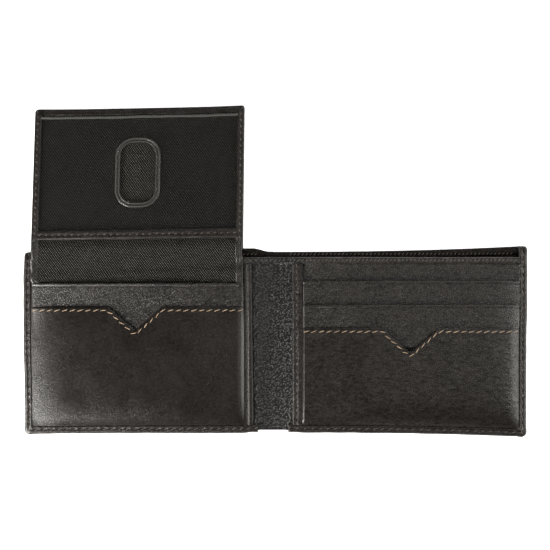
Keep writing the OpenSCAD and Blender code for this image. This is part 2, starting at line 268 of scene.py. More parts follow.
def sewing_thread(name, colour):
    """Bonded polyester sewing thread: two plies twisted together, so fine slanted furrows and a
    dull silky gloss."""
    made, put, where = new_material(name)
    plies = put("ShaderNodeTexWave", {
        "Vector": where, "Scale": 900.0, "Distortion": 0.5,
    }, bands_direction="DIAGONAL")
    bump = put("ShaderNodeBump", {"Height": plies.outputs["Fac"], "Distance": 0.00008})
    wear = put("ShaderNodeTexNoise", {"Vector": where, "Scale": 400.0, "Detail": 2.0})
    fade = put("ShaderNodeMapRange", {"Value": wear, "To Min": 0.55, "To Max": 1.45})
    tone = shaded(put, (*colour, 1.0), fade)
    shader = put("ShaderNodeBsdfPrincipled", {
        "Base Color": tone, "Roughness": 0.5, "Normal": bump, "Sheen Weight": 0.1,
    })
    put("ShaderNodeOutputMaterial", {"Surface": shader})
    return made


def clear_vinyl(name, colour, alpha, rough):
    """Clear plasticised vinyl film, calendered: almost invisible from above, with soft long
    highlights where it waves."""
    made, put, where = new_material(name)
    waves = put("ShaderNodeTexNoise", {"Vector": where, "Scale": 45.0, "Detail": 2.0})
    bump = put("ShaderNodeBump", {"Height": waves, "Distance": 0.0005})
    shader = put("ShaderNodeBsdfPrincipled", {
        "Base Color": (*colour, 1.0), "Roughness": rough, "Alpha": alpha, "IOR": 1.5,
        "Normal": bump,
    })
    put("ShaderNodeOutputMaterial", {"Surface": shader})
    return made


MATERIALS = {}


def make_materials():
    """All finishes, named for what the real ones are."""
    size, hue = bpy.context.scene.wallet_sizes, bpy.context.scene.wallet_colours
    leather, gutter, grain = tuple(hue.leather), tuple(hue.gutter), size.grain
    MATERIALS.update(
        shell=nappa("nappa_shell", leather, grain, 0.0001, 0.48, (0.05, 0.25)),
        pocket=nappa("nappa_pocket", leather, grain, 0.0001, 0.38, (0.3, 0.85)),
        taut=nappa("nappa_stretched", leather, grain * 0.75, 0.00004, 0.3, (0.34, 0.53)),
        milled=nappa("nappa_milled", leather, grain, 0.0001, 0.34, (0.16, 0.66), 0.75),
        edge=nappa("nappa_turned_edge", leather, grain, 0.00009, 0.36, (0.26, 0.66)),
        gutter=nappa(
            "pebbled_gutter_leather", gutter, size.pebble, 0.0001, 0.36, (0.36, 0.8), 0.08, True,
        ),
        twill=twill_cloth("black_twill", tuple(hue.twill), size.twill_pitch),
        accent=sewing_thread("tan_polyester_thread", tuple(hue.accent)),
        seam=sewing_thread("brown_polyester_thread", tuple(hue.seam)),
        film=clear_vinyl("clear_vinyl_film", tuple(hue.film), 0.22, 0.14),
        # painted highlight: the rim's clear vinyl is given a light grey that stands for the lamps'
        # reflections on its ridges
        rim=clear_vinyl("vinyl_rim_painted_highlight", linear("#4c4d4b"), 0.6, 0.22),
    )


# ---------------------------------------------------------------- shaping


def smooth(t):
    """0 to 1, slow at both ends."""
    t = min(max(t, 0.0), 1.0)
    return t * t * (3 - 2 * t)


def puff(distance, width):
    """0 at a seam, rising steeply and rounding off to 1 at width: how stuffed leather lifts."""
    return math.sin(math.pi / 2 * min(max(distance / width, 0.0), 1.0))


def turned(distance, radius):
    """How far a turned edge has dropped at a distance from its rim, as a share of 1."""
    t = min(max(distance / radius, 0.0), 1.0)
    return 1 - math.sqrt(max(0.0, 1 - (1 - t) ** 2))


def groove(distance, width):
    """A pressed crease: 1 in its middle and 0 past its width."""
    return math.exp(-((distance / width) ** 2))


def ripple(x, y, size, seed=0.0):
    """Soft unevenness of hand-made leather, from -1 to 1, with features of the given size."""
    return noise.noise(Vector((x / size, y / size, seed)))


def spaced(low, high, step, fine=(0.12, 0.3, 0.55, 0.85, 1.2, 1.7, 2.4, 3.3, 4.4, 6.0)):
    """Positions from low to high, close together at both ends and at most step apart between."""
    near = [f for f in fine if f < (high - low) / 2]
    a, b = low + (near[-1] if near else 0), high - (near[-1] if near else 0)
    n = max(1, math.ceil((b - a) / step))
    middle = [a + (b - a) * k / n for k in range(n + 1)]
    start = [low] + [low + f for f in near[:-1]]
    end = [high - f for f in reversed(near[:-1])] + [high]
    return sorted(set(round(v, 4) for v in start + middle + end))


def mesh_piece(name, points, faces, materials, slots=None):
    """A closed piece from points in millimetres, with its faces turned outwards."""
    mesh = bpy.data.meshes.new(name)
    mesh.from_pydata([tuple(c * MM for c in p) for p in points], [], faces)
    piece = bpy.data.objects.new(name, mesh)
    bpy.context.collection.objects.link(piece)
    for m in materials:
        mesh.materials.append(MATERIALS[m])
    if slots:
        mesh.polygons.foreach_set("material_index", slots)
    shape = bmesh.new()
    shape.from_mesh(mesh)
    bmesh.ops.remove_doubles(shape, verts=shape.verts, dist=1e-7)
    bmesh.ops.recalc_face_normals(shape, faces=shape.faces)
    shape.to_mesh(mesh)
    shape.free()
    mesh.polygons.foreach_set("use_smooth", [True] * len(mesh.polygons))
    mesh.set_sharp_from_angle(angle=math.radians(52))
    mesh.update()
    return piece


def sheet_piece(name, xs, ys, place, materials, slot_of=None, wrap=None):
    """A closed sheet over a grid. place(x, y) gives (x, y, top, bottom) of a grid point, and
    wrap moves a finished point."""
    top, bottom = [], []
    for x in xs:
        for y in ys:
            px, py, zt, zb = place(x, y)
            top.append((px, py, zt))
            bottom.append((px, py, zb))
    if wrap:
        top, bottom = [wrap(p) for p in top], [wrap(p) for p in bottom]
    n, m, faces, slots = len(xs), len(ys), [], []
    shift = n * m
    for i in range(n - 1):
        for j in range(m - 1):
            a, b, c, d = i * m + j, (i + 1) * m + j, (i + 1) * m + j + 1, i * m + j + 1
            k = slot_of((xs[i] + xs[i + 1]) / 2, (ys[j] + ys[j + 1]) / 2) if slot_of else 0
            faces += [(a, b, c, d), (shift + a, shift + d, shift + c, shift + b)]
            slots += [k, k]
    ring = [i * m for i in range(n)] + [(n - 1) * m + j for j in range(1, m)]
    ring += [i * m + m - 1 for i in range(n - 2, -1, -1)] + [j for j in range(m - 2, 0, -1)]
    for a, b in zip(ring, ring[1:] + ring[:1]):
        faces.append((a, shift + a, shift + b, b))
        slots.append(0)
    return mesh_piece(name, top + bottom, faces, materials, slots)


def rolled_piece(name, points, k, material):
    """A closed roll from rings of k points each, capped at both ends."""
    last = len(points) - k
    faces = [
        (n + m, n + (m + 1) % k, n + k + (m + 1) % k, n + k + m)
        for n in range(0, last, k) for m in range(k)
    ]
    faces += [tuple(range(k)), tuple(range(last, len(points)))]
    return mesh_piece(name, points, faces, [material])


def finish_piece(piece, nodes, body=None, bend=None):
    """Hides the frame nodes a piece stands in for, and parents the piece to the body it moves
    with; a piece given a bend is only fixed where it lies, with no body.
    """
    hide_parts(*nodes)
    if bend:
        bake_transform(piece)
    else:
        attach(piece, body)
    return piece


GUTTER_BEND = {
    -1: ("left_leaf", "spine", (-FOLD_X - 3, 0, FOLD_Z), (-FOLD_X + 3, 0, FOLD_Z)),
    1: ("spine", "right_leaf", (FOLD_X - 3, 0, FOLD_Z), (FOLD_X + 3, 0, FOLD_Z)),
}
SIDE = {-1: "left", 1: "right"}
LEAF = {-1: "left_leaf", 1: "right_leaf"}


# ---------------------------------------------------------------- shell and banknote compartment


def shell_top(x):
    """The shell's top edge: it stands a little above the spine's left, and rises to the right."""
    if x < 0:
        bump = smooth((-x - 2) / 7)
        far = smooth((-x - 14) / 60)
        return 43.0 + 1.6 * bump - 1.7 * far
    return 42.9 + 2.75 * (x / 118) ** 2.3


def leaf_low(x):
    """The lower edge: the spine's is a little higher than the leaves'."""
    return -SPINE_LOW - 0.9 - (HALF_H - SPINE_LOW - 0.9) * smooth((abs(x) - 6.5) / 4)


def lie(p):
    """Where a point of a leaf's flat pattern comes to lie: the hand-turned leaves bow a little
    at their outer sides, and their feet drop towards the outer corners."""
    x, y, z = p
    a, outer, foot = abs(x), smooth((abs(x) - 50) / 68), smooth((12 - y) / 52)
    if x < 0:
        bow = 0.6 + 0.75 * smooth((y + 35) / 45) * smooth((52 - y) / 24)
        drop = 0.5 + 0.4 * smooth((a - 75) / 45)
    else:
        bow = 1.0 + 0.5 * smooth((y + 12) / 34)
        drop = 0.3 + 1.9 * (max(a - 20, 0) / 100) ** 2
    drop *= smooth((a - 9) / 6)
    return x + math.copysign(outer * bow, x), y - drop * foot, z


def corner_round(x, y, s, radius=3.4):
    """Pulls a leaf's outer corners in to a round."""
    far, half = REACH[s], HALF_H
    a = (abs(x) - (far - radius)) / radius
    b = (abs(y) - (half - radius)) / radius
    if a <= 0 or b <= 0:
        return x, y
    out, away = max(a, b), math.hypot(a, b)
    return (
        s * (far - radius + a / away * out * radius),
        math.copysign(half - radius + b / away * out * radius, y),
    )


def shell_half(s):
    """One half of the shell: one piece of leather from the spine's middle to the leaf's outer
    edge, with its top edge turned over."""
    xs = [s * v for v in spaced(0, REACH[s], 3.0)]
    ys = spaced(-HALF_H, HALF_H, 3.0) + [HALF_H - d for d in (3.2, 3.45, 3.6, 3.75, 4.0)]

    def place(x, y):
        px, py = corner_round(x, y, s)
        rise = (py + HALF_H) / (2 * HALF_H)
        low = leaf_low(px)
        py = low + (shell_top(px) - low) * rise
        d = min(REACH[s] - abs(x), HALF_H - abs(y))
        hem = smooth((y - (HALF_H - SHELL_HEM)) / 0.8)
        edge = turned(d, 0.8)
        top = 1.1 + 0.55 * hem
        under = 0.06 + 0.12 * groove(abs(x) - FOLD_X, 1.6)
        lift = 0.2 * smooth((y - 38.5) / 5.4) * smooth((REACH[s] - 5 - abs(x)) / 12)
        return px, py, lift + top - edge * top * 0.45, lift + under + edge * 0.4

    piece = sheet_piece(
        f"shell_leather_{SIDE[s]}", xs, sorted(set(ys)), place, ["shell"], wrap=lie,
    )
    nodes = [f"shell_{SIDE[s]}", f"shell_hem_{SIDE[s]}", "shell_spine", "shell_hem_spine"]
    return finish_piece(piece, nodes, bend=GUTTER_BEND[s])


def lining_half(s, name, low_z, nodes):
    """A twill lining from the spine's middle to the leaf's outer seam."""
    out = REACH[s] - BINDING - 0.3
    high = PANEL_TOP - 0.8
    xs = [s * v for v in spaced(0, out, 5.0, fine=(1.0, 3.0))]
    ys = spaced(FOOT + 0.3, high, 6.0, fine=(1.0, 3.0))
    piece = sheet_piece(name, xs, ys, lambda x, y: (x, y, low_z + 0.26, low_z + 0.02), ["twill"])
    finish_piece(piece, nodes, bend=GUTTER_BEND[s])
    return piece


def panel_height(x, y):
    """Top of the inner leather: the gutter lies in soft folds beside each leaf."""
    a = abs(x)
    fold = -0.45 * max(0.0, 1 - ((x - 1.2) / 8.6) ** 2)
    soft = 0.1 * ripple(x, y, 9.0, 3.0) * smooth((10 - a) / 3)
    tilt = 0.6 * smooth((y - 27) / 12) * smooth((x - 14) / 5)
    return DECK + fold + soft + tilt


def hem_height(x, y):
    """Where the thread lies on the inner panel's turned top edge."""
    return panel_height(x, y) + HEM_RISE


def panel_half(s):
    """One half of the inner panel with the gutter, its top edge turned over in a wide hem."""
    out = REACH[s] - BINDING + 0.4
    xs = [s * v for v in spaced(0, out, 2.5)]
    xs += [s * (GUTTER_IN + d) for d in (-2.4, -1.8, -1.2, -0.6, 0.0)]
    xs = sorted(set(round(v, 3) for v in xs))
    hem = PANEL_TOP - PANEL_HEM
    ys = spaced(-HALF_H, PANEL_TOP, 2.5)
    ys += [hem + d for d in (-0.5, -0.25, 0.0, 0.25, 0.5)]

    def place(x, y):
        low = leaf_low(x) + 0.3 if abs(x) < GUTTER_IN + 1 else FOOT - 0.3
        share = (y + HALF_H) / (PANEL_TOP + HALF_H)
        py = low + (PANEL_TOP - low) * share
        over = abs(x) < GUTTER_OUT if s < 0 else True
        lift = HEM_RISE * smooth((y - hem + 0.5) / 0.7) if over else 0.0
        d = PANEL_TOP - y
        lip = turned(d, 0.9)
        foot = smooth((FOOT + 1.2 - py) / 2.0)
        drop = 0.9 - 0.55 * smooth((10.5 - abs(x)) / 3)
        top = panel_height(x, y) + lift - foot * drop
        return x, py, top - 0.6 * lip * (0.6 + lift), (
            DECK - 0.6 + 0.25 * lip - foot * 0.5 - 0.25 * max(0.0, 1 - (x / 9) ** 2)
        )

    piece = sheet_piece(
        f"inner_panel_{SIDE[s]}", xs, sorted(set(ys)), place, ["pocket", "gutter"],
        slot_of=lambda x, y: 1 if abs(x) < GUTTER_IN + 0.8 else 0, wrap=lie,
    )
    nodes = [f"panel_{SIDE[s]}", f"panel_hem_{SIDE[s]}", "gutter_panel", "gutter_hem"]
    return finish_piece(piece, nodes, bend=GUTTER_BEND[s])


def foot_roll(s):
    """Half of the small roll that closes the compartment under the spine."""
    xs = [s * v for v in spaced(0, GUTTER_IN - 0.6, 1.5, fine=(0.5,))]
    ys = spaced(0, 2.2, 0.4, fine=(0.2,))

    def place(x, y):
        low = leaf_low(x) + 0.1
        d = min(y, 2.2 - y)
        edge = turned(d, 0.8)
        return x, low + y, 2.55 - 0.7 * edge, 1.15 + 0.6 * edge

    piece = sheet_piece(f"spine_foot_roll_{SIDE[s]}", xs, ys, place, ["edge"])
    return finish_piece(piece, ["spine_foot_seam"], bend=GUTTER_BEND[s])


# ---------------------------------------------------------------- bindings

BINDING_SECTION = [
    (-0.25, 3.1), (-0.1, 3.6), (0.15, 3.95), (0.5, 4.15), (0.9, 4.2), (1.3, 4.12),
    (1.6, 3.95), (1.8, 3.9), (2.0, 3.95), (2.3, 4.05), (2.7, 4.02), (3.1, 3.85), (3.45, 3.5),
    (3.75, 3.0), (3.92, 2.4), (3.98, 1.8), (3.9, 1.2), (3.3, 1.14), (1.6, 1.12), (-0.25, 1.14),
]


def binding_path(s):
    """Stations along a leaf's turned edge: a point on its pockets' side, and the way out."""
    inner = REACH[s] - BINDING
    stations = []
    for y in spaced(FOOT, shell_top(s * REACH[s]) - 0.1, 0.6, fine=(0.3,))[::-1]:
        stations.append((s * inner, y, s, 0.0))
    steps = 9
    for k in range(1, steps):
        a = math.pi / 2 * k / steps
        stations.append((s * inner, FOOT, s * math.cos(a), -math.sin(a)))
    for x in spaced(GUTTER_IN - 2.2, inner, 0.6, fine=(0.3,))[::-1]:
        stations.append((s * x, FOOT, 0.0, -1.0))
    return stations


def binding(s):
    """The turned edge down a leaf's outer side and along its foot, as one rounded roll with a
    sewn furrow."""
    stations, points = binding_path(s), []
    for n, (x, y, dx, dy) in enumerate(stations):
        square = 1.0
        if abs(dx) > 1e-6 and abs(dy) > 1e-6:
            square = 1 + 0.22 * math.sin(2 * math.atan2(abs(dy), abs(dx))) ** 1.2
        from_top = 0.6 * n if abs(dx) > 0.99 else 99.0
        close = 1 - 0.25 * turned(len(stations) - 1 - n, 2.5) - 0.6 * turned(from_top, 4.5)
        round_off = 0.42 * turned(from_top, 2.4)
        for across, z in BINDING_SECTION:
            a = across * (square if across > 0 else 1)
            a += 0.13 * ripple(x, y, 7.0, 8.0) * (across > 1) + 0.25 * (across > 3)
            a = a if across <= 0 else a * (1 - round_off)
            stitch = math.sin(math.pi * (x + y) / EDGE_PITCH) ** 2
            dimple = 0.4 * stitch * groove(across - EDGE_SEAM, 0.5)
            lump = 0.08 * ripple(x, y, 3.0, 9.0) * (z > 3)
            up = 1.12 + (z - dimple + lump - 1.12) * close
            points.append(lie((x + dx * a, y + dy * a, up)))
    piece = rolled_piece(f"edge_binding_roll_{SIDE[s]}", points, len(BINDING_SECTION), "edge")
    nodes = [f"edge_binding_{SIDE[s]}", f"bottom_binding_{SIDE[s]}"]
    return finish_piece(piece, nodes, body=LEAF[s])


def gutter_strip(s):
    """The narrow turned strip that covers the pockets' inner ends."""
    inner, outer = (GUTTER_IN, GUTTER_OUT) if s < 0 else (GUTTER_IN, GUTTER_OUT + 0.2)
    us = [0.0, 0.12, 0.35, 0.7, 1.1, 1.6, 2.1, 2.6, 3.0, 3.4, 3.8, outer - inner]
    ys = spaced(FOOT - 0.2, PANEL_TOP - PANEL_HEM, 2.0, fine=(0.15, 0.35, 0.8, 1.6))

    def place(u, y):
        lean = (y - FOOT) / 77 * (1 if s < 0 else 0.2)
        x = inner + u + (lean if s < 0 else -lean) * (1 - u / (outer - inner))
        edge = turned(u, 1.1)
        stitched = 0.4 * groove(u - STRIP_SEAM[s], 0.4)
        stitched += 0.15 * groove(u - (1.2 if s < 0 else 0.9), 0.3)
        end = turned(min(y - FOOT + 0.2, PANEL_TOP - PANEL_HEM - y), 0.35)
        top = 4.65 - 0.65 * edge - stitched + 0.05 * ripple(s * x, y, 4.0, 1.0) - 0.4 * end
        return s * x, y, top, ON_DECK

    piece = sheet_piece(f"gutter_edge_strip_{SIDE[s]}", us, ys, place, ["edge"], wrap=lie)
    return finish_piece(piece, [f"gutter_strip_{SIDE[s]}"], body=LEAF[s])


# ---------------------------------------------------------------- pockets

WRINKLE, CROWN = 0.12, 0.1  # unevenness of every layer, and the notched pockets' bulge
MOUTH_SEAM = 1.5  # how far below a mouth its contrast stitches run


@dataclass
class Pocket:
    """One pocket layer: leather or twill between two side seams and a foot seam, lifted between
    them, open at its mouth, and with a notch in the mouth where the pocket has one. s is its
    leaf's side; x0 and x1 are its side seams' distances from the spine; low and mouth are its
    ends in y; full and pressed are its heights free and sewn down; press and tuck say how far
    from its outer and inner seam it lifts; notch is a notch's middle, half width and depth."""

    s: int
    x0: float
    x1: float
    low: float
    mouth: float
    full: float
    pressed: float
    thick: float = POCKET_LEATHER
    press: float = 7.0
    notch: tuple = None
    crease: float = 1.5
    seed: float = 0.0
    foot_seam: bool = True
    over_tab: bool = False
    tuck: float = 1.0

    def mouth_at(self, a):
        """Height of the mouth's edge at a distance from the spine."""
        if not self.notch:
            return self.mouth
        centre, half, depth = self.notch
        off = math.sqrt((a - centre) ** 2 + 0.36) - 0.6
        dip = depth * (1 - off / half)
        dip = (dip + math.sqrt(dip * dip + 0.05)) / 2
        return self.mouth - dip

    def lean(self, a):
        """How much further in y a distance down from the mouth reaches on a notch's flank."""
        if not self.notch:
            return 1.0
        centre, half, depth = self.notch
        flank = smooth((half + 0.8 - abs(a - centre)) / 1.6)
        return 1 + flank * (math.hypot(1, depth / half) - 1)

    def lifted(self, a, y):
        """0 on the seams to 1 where the pocket is full."""
        inner = 0.5 * puff(a - self.x0, self.tuck) + 0.5 * smooth((a - self.x0) / 32)
        side = inner * (1 - math.exp((a - self.x1) / self.press))
        foot = 1 - math.exp(min(FOOT - y, 0) / 4.6) if self.foot_seam else 1.0
        return max(side, 0) * foot

    def top(self, a, y):
        """Height of the pocket's outer face."""
        lift = self.lifted(a, y)
        low = self.pressed
        if self.over_tab:
            sides = puff(a - self.x0, 1.3) * puff(self.x1 - a, 1.3)
            low += 1.0 * smooth((y - 6) / 14) * sides
        z = low + (self.full - low) * lift + (CROWN * lift * lift if self.notch else 0.0)
        near = (self.mouth_at(a) - y) / self.lean(a)
        z -= 0.16 * groove(near - self.crease, 0.28) if self.crease else 0.0
        if self.crease:
            # a loose mouth stands up a little, and its band leans back from it
            z += 0.25 * lift * smooth((2.4 - near) / 2.4)
            z += 0.06 * lift * max(0.0, y - self.mouth + 11.5)
        z += lift * WRINKLE * ripple(self.s * a, y, 11.0, self.seed)
        z += lift * WRINKLE * 1.5 * ripple(self.s * a, y, 34.0, self.seed + 5)
        return z

    def columns(self):
        """Distances from the spine, close together at the seams and round the notch."""
        xs = spaced(self.x0, self.x1, 2.2)
        if self.notch:
            centre, half, _ = self.notch
            ends = [half + d for d in (-1.4, -0.8, -0.4, 0.0, 0.4, 0.8, 1.4)]
            tip = [0.0, 0.3, 0.6, 1.0, 1.5, 2.2]
            middle = [2.2 + (half - 3.6) * k / 5 for k in range(1, 5)]
            mine = [centre + e * d for d in ends + tip + middle for e in (-1, 1)]
            xs = [x for x in xs if all(abs(x - c) > 0.25 for c in mine)] + mine
        return sorted(set(round(x, 3) for x in xs))

    def build(self, name, material):
        """The layer as a closed sheet with its mouth's edge turned."""
        near = [0.0, 0.08, 0.22, 0.42, 0.7, 1.0, 1.2, 1.35, 1.5, 1.65, 1.85, 2.2, 2.9, 4.0]
        span = self.mouth - (self.notch[2] if self.notch else 0.0) - near[-1] * 1.4 - self.low
        steps = max(4, math.ceil(span / 2.2))
        far = [k / steps for k in range(1, steps)]
        last = [1 - d / span for d in (3.0, 2.0, 1.3, 0.8, 0.45, 0.2, 0.0)]
        rows = [("near", d) for d in near]
        rows += [("far", t) for t in sorted(set(far + last)) if t >= 0.02]

        def place(a, row):
            kind, value = rows[int(row)]
            rim = self.mouth_at(a)
            if kind == "near":
                y, d = rim - value * self.lean(a), value
            else:
                start = rim - near[-1] * self.lean(a)
                y, d = start + (self.low - start) * value, 9.0
            z = self.top(a, y)
            thick = self.thick * (0.45 + 0.55 * self.lifted(a, y))
            edge = turned(d, 0.75)
            return self.s * a, y, z - edge * thick * 0.55, z - thick + edge * thick * 0.3

        return sheet_piece(name, self.columns(), range(len(rows)), place, [material], wrap=lie)

    def mouth_seam(self, below):
        """Points of a seam that follows the mouth, lying on the leather."""
        out = []
        a = self.x0 + 2.0
        while a <= self.x1 - 1.6:
            y = self.mouth_at(a) - below * self.lean(a)
            out.append(lie((self.s * a, y, self.top(a, y))))
            a += 0.4
        return out[:: self.s]


LEFT = partial(Pocket, -1, 13.7, REACH[-1] - BINDING + 0.1)
RIGHT = partial(Pocket, 1, 13.9, REACH[1] - BINDING + 0.1)
SLIP = LEFT(FOOT + 0.1, 27.8, 5.85, 3.95, press=5.0, seed=2.0, over_tab=True, tuck=2.4)
NOTCHED_L = LEFT(
    FOOT - 0.1, 16.3, 7.25, 4.35, press=7.5, notch=(65.8, 11.9, 10.7), crease=0, seed=7.0,
    over_tab=True, tuck=3.2,
)
SLOT_UP = RIGHT(8.8, 28.8, 4.95, 3.85, press=4.0, seed=11.0, foot_seam=False)
SLOT_UP_TAIL = RIGHT(FOOT + 0.2, 9.4, 4.85, 3.75, SLOT_TWILL, press=4.0, crease=0, seed=11.0)
SLOT_LOW = RIGHT(-2.7, 17.3, 6.4, 4.15, press=4.5, seed=13.0, foot_seam=False)
SLOT_LOW_TAIL = RIGHT(FOOT + 0.2, -2.1, 6.3, 4.0, SLOT_TWILL, press=4.5, crease=0, seed=13.0)
NOTCHED_R = RIGHT(
    FOOT - 0.1, 6.2, 7.95, 4.45, press=5.0, notch=(65.2, 12.3, 10.9), crease=0, seed=17.0,
)


# ---------------------------------------------------------------- flap

FLAP_OUT, FLAP_IN = 114.5, 14.2  # distances from the spine
FLAP_FAR = 112.3
EDGE_W = 3.4  # width of the flap's turned edge
TAB_X, TAB_LOW = (-113.6, -15.1), 22.0  # the tab sewn in below the slip pocket
FOOT_BAND, FOOT_SEAM, FLAP_SEAM = (48.9, 53.5), 51.3, 1.7
HOLE = Vector((-64.7, 81.0))
HOLE_W, HOLE_H, HOLE_R = 16.5, 28.8, 6.3


def flap_place(p):
    """Sets a point of the flat flap where the opened flap lies: tilted to the table beyond its
    fold, and drawn slightly askew as soft leather lies."""
    x, y, z = p
    u = (x + FLAP_OUT) / (FLAP_OUT - FLAP_IN)
    t = max(0.0, (y - FLAP_FOLD_2) / (FLAP_FAR - FLAP_FOLD_2))
    start = smooth((y - 25.5) / 4)
    x += start * ((1 - u) * (-1.85 + 1.65 * t) + u * (-0.2 + 0.75 * t))
    y += start * ((u - 0.5) * (1.4 + 0.6 * t) + 0.45 * t * (2 * u - 1) ** 4)
    if y > FLAP_FOLD_2:
        dy, dz = y - FLAP_FOLD_2, z - FLAP_FOLD_Z
        c, k = math.cos(FLAP_TILT), math.sin(FLAP_TILT)
        y = FLAP_FOLD_2 + dy * c + dz * k
        z = FLAP_FOLD_Z - dy * k + dz * c
    return x, y, z


NEAR_BEND = (
    "left_leaf", "flap_fold", (-64.4, FLAP_FOLD_1 - 1.8, FLAP_FOLD_Z),
    (-64.4, FLAP_FOLD_1 + 1.8, FLAP_FOLD_Z),
)
FAR_BEND = (
    "flap_fold", "id_flap", (-64.4, FLAP_FOLD_2 - 1.9, FLAP_FOLD_Z),
    (-64.4, FLAP_FOLD_2 + 1.9, FLAP_FOLD_Z),
)
MID_FOLD = (FLAP_FOLD_1 + FLAP_FOLD_2) / 2


def neck_sag(x, y):
    """The flap's neck: it arches up below the foot band, and lies in cross creases where it
    comes out of the slip pocket."""
    arch = 0.35 + 1.25 * smooth((y - 34 - 0.03 * (x + 64)) / 11)
    line = 31.8 + 0.025 * (x + 64) + 0.9 * ripple(x, 0, 26.0, 6.0)
    depth = 0.5 + 0.35 * ripple(x, 3.0, 30.0, 8.0)
    folds = 0.85 * groove(y - line, 1.3) - depth * groove(y - line - 3.2, 1.4)
    folds += 0.16 * groove(y - line + 2.3, 0.7)
    soft = 0.25 * ripple(x, y * 2.0, 24.0, 21.0) + 0.07 * ripple(x, y * 1.5, 6.0, 4.0)
    return max(arch + folds + soft, 0.05) * smooth((y - 25.0) / 3.5)


def flap_bottom(x, y):
    """Underside of the flap's leather."""
    return ON_DECK + 0.14 * smooth((y - FLAP_FOLD_1) / 2)


def flap_layer(name, part, inset, nodes, bend):
    """A layer of the flap's sheet, the part before or beyond the middle of its fold: the
    leather, or the twill on it where it is inset."""
    low, thick, material, slot = (
        (FLAP_LEATHER + 0.02, FLAP_TWILL, "twill", "twill_lining") if inset
        else (0.0, FLAP_LEATHER, "pocket", "pocket_leather")
    )
    x0, x1 = TAB_X if part == "tab" else (-FLAP_OUT + 0.5, -FLAP_IN - 0.5)
    x0, x1 = x0 + inset, x1 - inset
    y0, y1 = (TAB_LOW, MID_FOLD) if part == "tab" else (MID_FOLD, FLAP_FAR - inset * 0.8)
    xs = spaced(x0, x1, 3.0)
    ys = spaced(y0, y1, 2.5)
    ys += [y for y in (35.6, 36.4, 37.0, 37.4, 37.9, 38.6, 40.4, 41.0, 41.6, 42.0, 42.5, 43.2)
           if y0 < y < y1]

    def place(x, y):
        z = flap_bottom(x, y) + low
        side = min(x - x0, x1 - x)
        z += 0.6 * smooth((-110.5 - x) / 2) * smooth((y - 28) / 5) * smooth((56 - y) / 8)
        border = 0.0
        if not inset and y < 50:
            border = 0.55 * (1 - turned(side, 0.8)) * smooth((3.6 - side) / 0.5)
            border -= 0.15 * groove(side - 1.7, 0.4)
            border = max(border, 0.0) + 0.12 * ripple(x, y, 4.0, 3.0) * (border > 0.2)
        wave = neck_sag(x, y) * smooth((49.6 - y) / 4.5)
        wide = 0.9 * smooth((y - TAB_LOW) / 8) if part == "tab" else 0.0
        px = x + wide * (2 * x - x0 - x1) / (x1 - x0)
        return px, y, z + thick + wave + border, z + wave

    xs += [v for d in (2.9, 3.1, 3.3, 3.5, 3.7, 3.9) for v in (x0 + d, x1 - d)]
    piece = sheet_piece(name, sorted(set(xs)), sorted(set(ys)), place, [material], wrap=flap_place)
    return finish_piece(piece, nodes, bend=bend)


FLAP_SECTION = [
    (3.4, 0.0), (3.4, 1.15), (3.15, 1.5), (2.8, 1.66), (2.3, 1.62), (1.95, 1.46), (1.7, 1.4),
    (1.45, 1.46), (1.1, 1.6), (0.7, 1.6), (0.32, 1.4), (0.08, 1.0), (-0.05, 0.4), (0.02, -0.25),
    (0.3, -0.5), (0.8, -0.56), (1.2, -0.5), (1.3, 0.0),
]


def flap_edging():
    """The turned edge round the flap's two sides and its far end, lower along the far end where
    the card slides in over it."""
    x0, x1, far, r = -FLAP_OUT, -FLAP_IN, FLAP_FAR, 1.7

    def along(x, y, dx, dy):
        return lambda a: (x + dx * a, y + dy * a)

    def corner(x, sign, phi):
        """Round outside, mitred inside."""
        cx, cy = x + sign * r, far - r
        return lambda a: (
            (cx + sign * (a - r) * math.cos(phi), cy - (a - r) * math.sin(phi))
            if a < r else (cx + sign * (a - r), cy - (a - r))
        )

    side_ys = spaced(43.4, far - EDGE_W, 2.5, fine=(0.3, 0.8, 1.6))
    stations = [(along(x0, y, 1.0, 0.0), y, 0.0) for y in side_ys]
    stations += [(corner(x0, 1, math.pi / 12 * k), far, k / 6) for k in range(7)]
    xs = spaced(x0 + EDGE_W, x1 - EDGE_W, 3.0, fine=(0.3, 0.8, 1.6))
    stations += [(along(x, far, 0.0, -1.0), far, 1.0) for x in xs]
    stations += [(corner(x1, -1, math.pi / 12 * k), far, k / 6) for k in range(6, -1, -1)]
    stations += [(along(x1, y, -1.0, 0.0), y, 0.0) for y in side_ys[::-1]]
    points, base = [], FLAP_FOLD_Z - 0.4
    for spot, y, far_share in stations:
        taper = smooth((y - 41.5) / 7)
        for across, z in FLAP_SECTION:
            up = z * ((1 - 0.62 * far_share) * taper if z > 0 else 1.0)
            px, py = spot(across * (1 - 0.12 * far_share))
            lump = 0.05 * ripple(px, py, 4.0, 31.0) if z > 1 else 0.0
            points.append(flap_place((px, py, base + up + lump)))
    piece = rolled_piece("flap_edging", points, len(FLAP_SECTION), "edge")
    nodes = ["flap_binding_left", "flap_binding_right", "flap_binding_far"]
    return finish_piece(piece, nodes, body="id_flap")


def flap_foot():
    """The sewn strip under the window."""
    x0, x1 = -FLAP_OUT + EDGE_W - 0.5, -FLAP_IN - EDGE_W + 0.5
    xs = spaced(x0, x1, 2.5, fine=(0.3, 0.8, 1.6))
    low, high = FOOT_BAND
    ys = [low + d for d in (0, 0.1, 0.3, 0.6, 1.0, 1.5, 2.1, 2.4, 2.7, 3.3, 3.8, 4.2, 4.5, 4.6)]

    def place(x, y):
        edge = turned(min(y - low, high - y), 1.0)
        sewn = 0.2 * groove(y - FOOT_SEAM, 0.4)
        z = 6.05 + 0.08 * ripple(x, y, 6.0, 12.0) + 0.12 * ripple(x, 0, 20.0, 2.0)
        return x, y, z - edge * 0.8 - sewn, 4.76

    piece = sheet_piece("flap_foot_band", xs, ys, place, ["edge"], wrap=flap_place)
    return finish_piece(piece, ["flap_foot_strip"], body="id_flap")


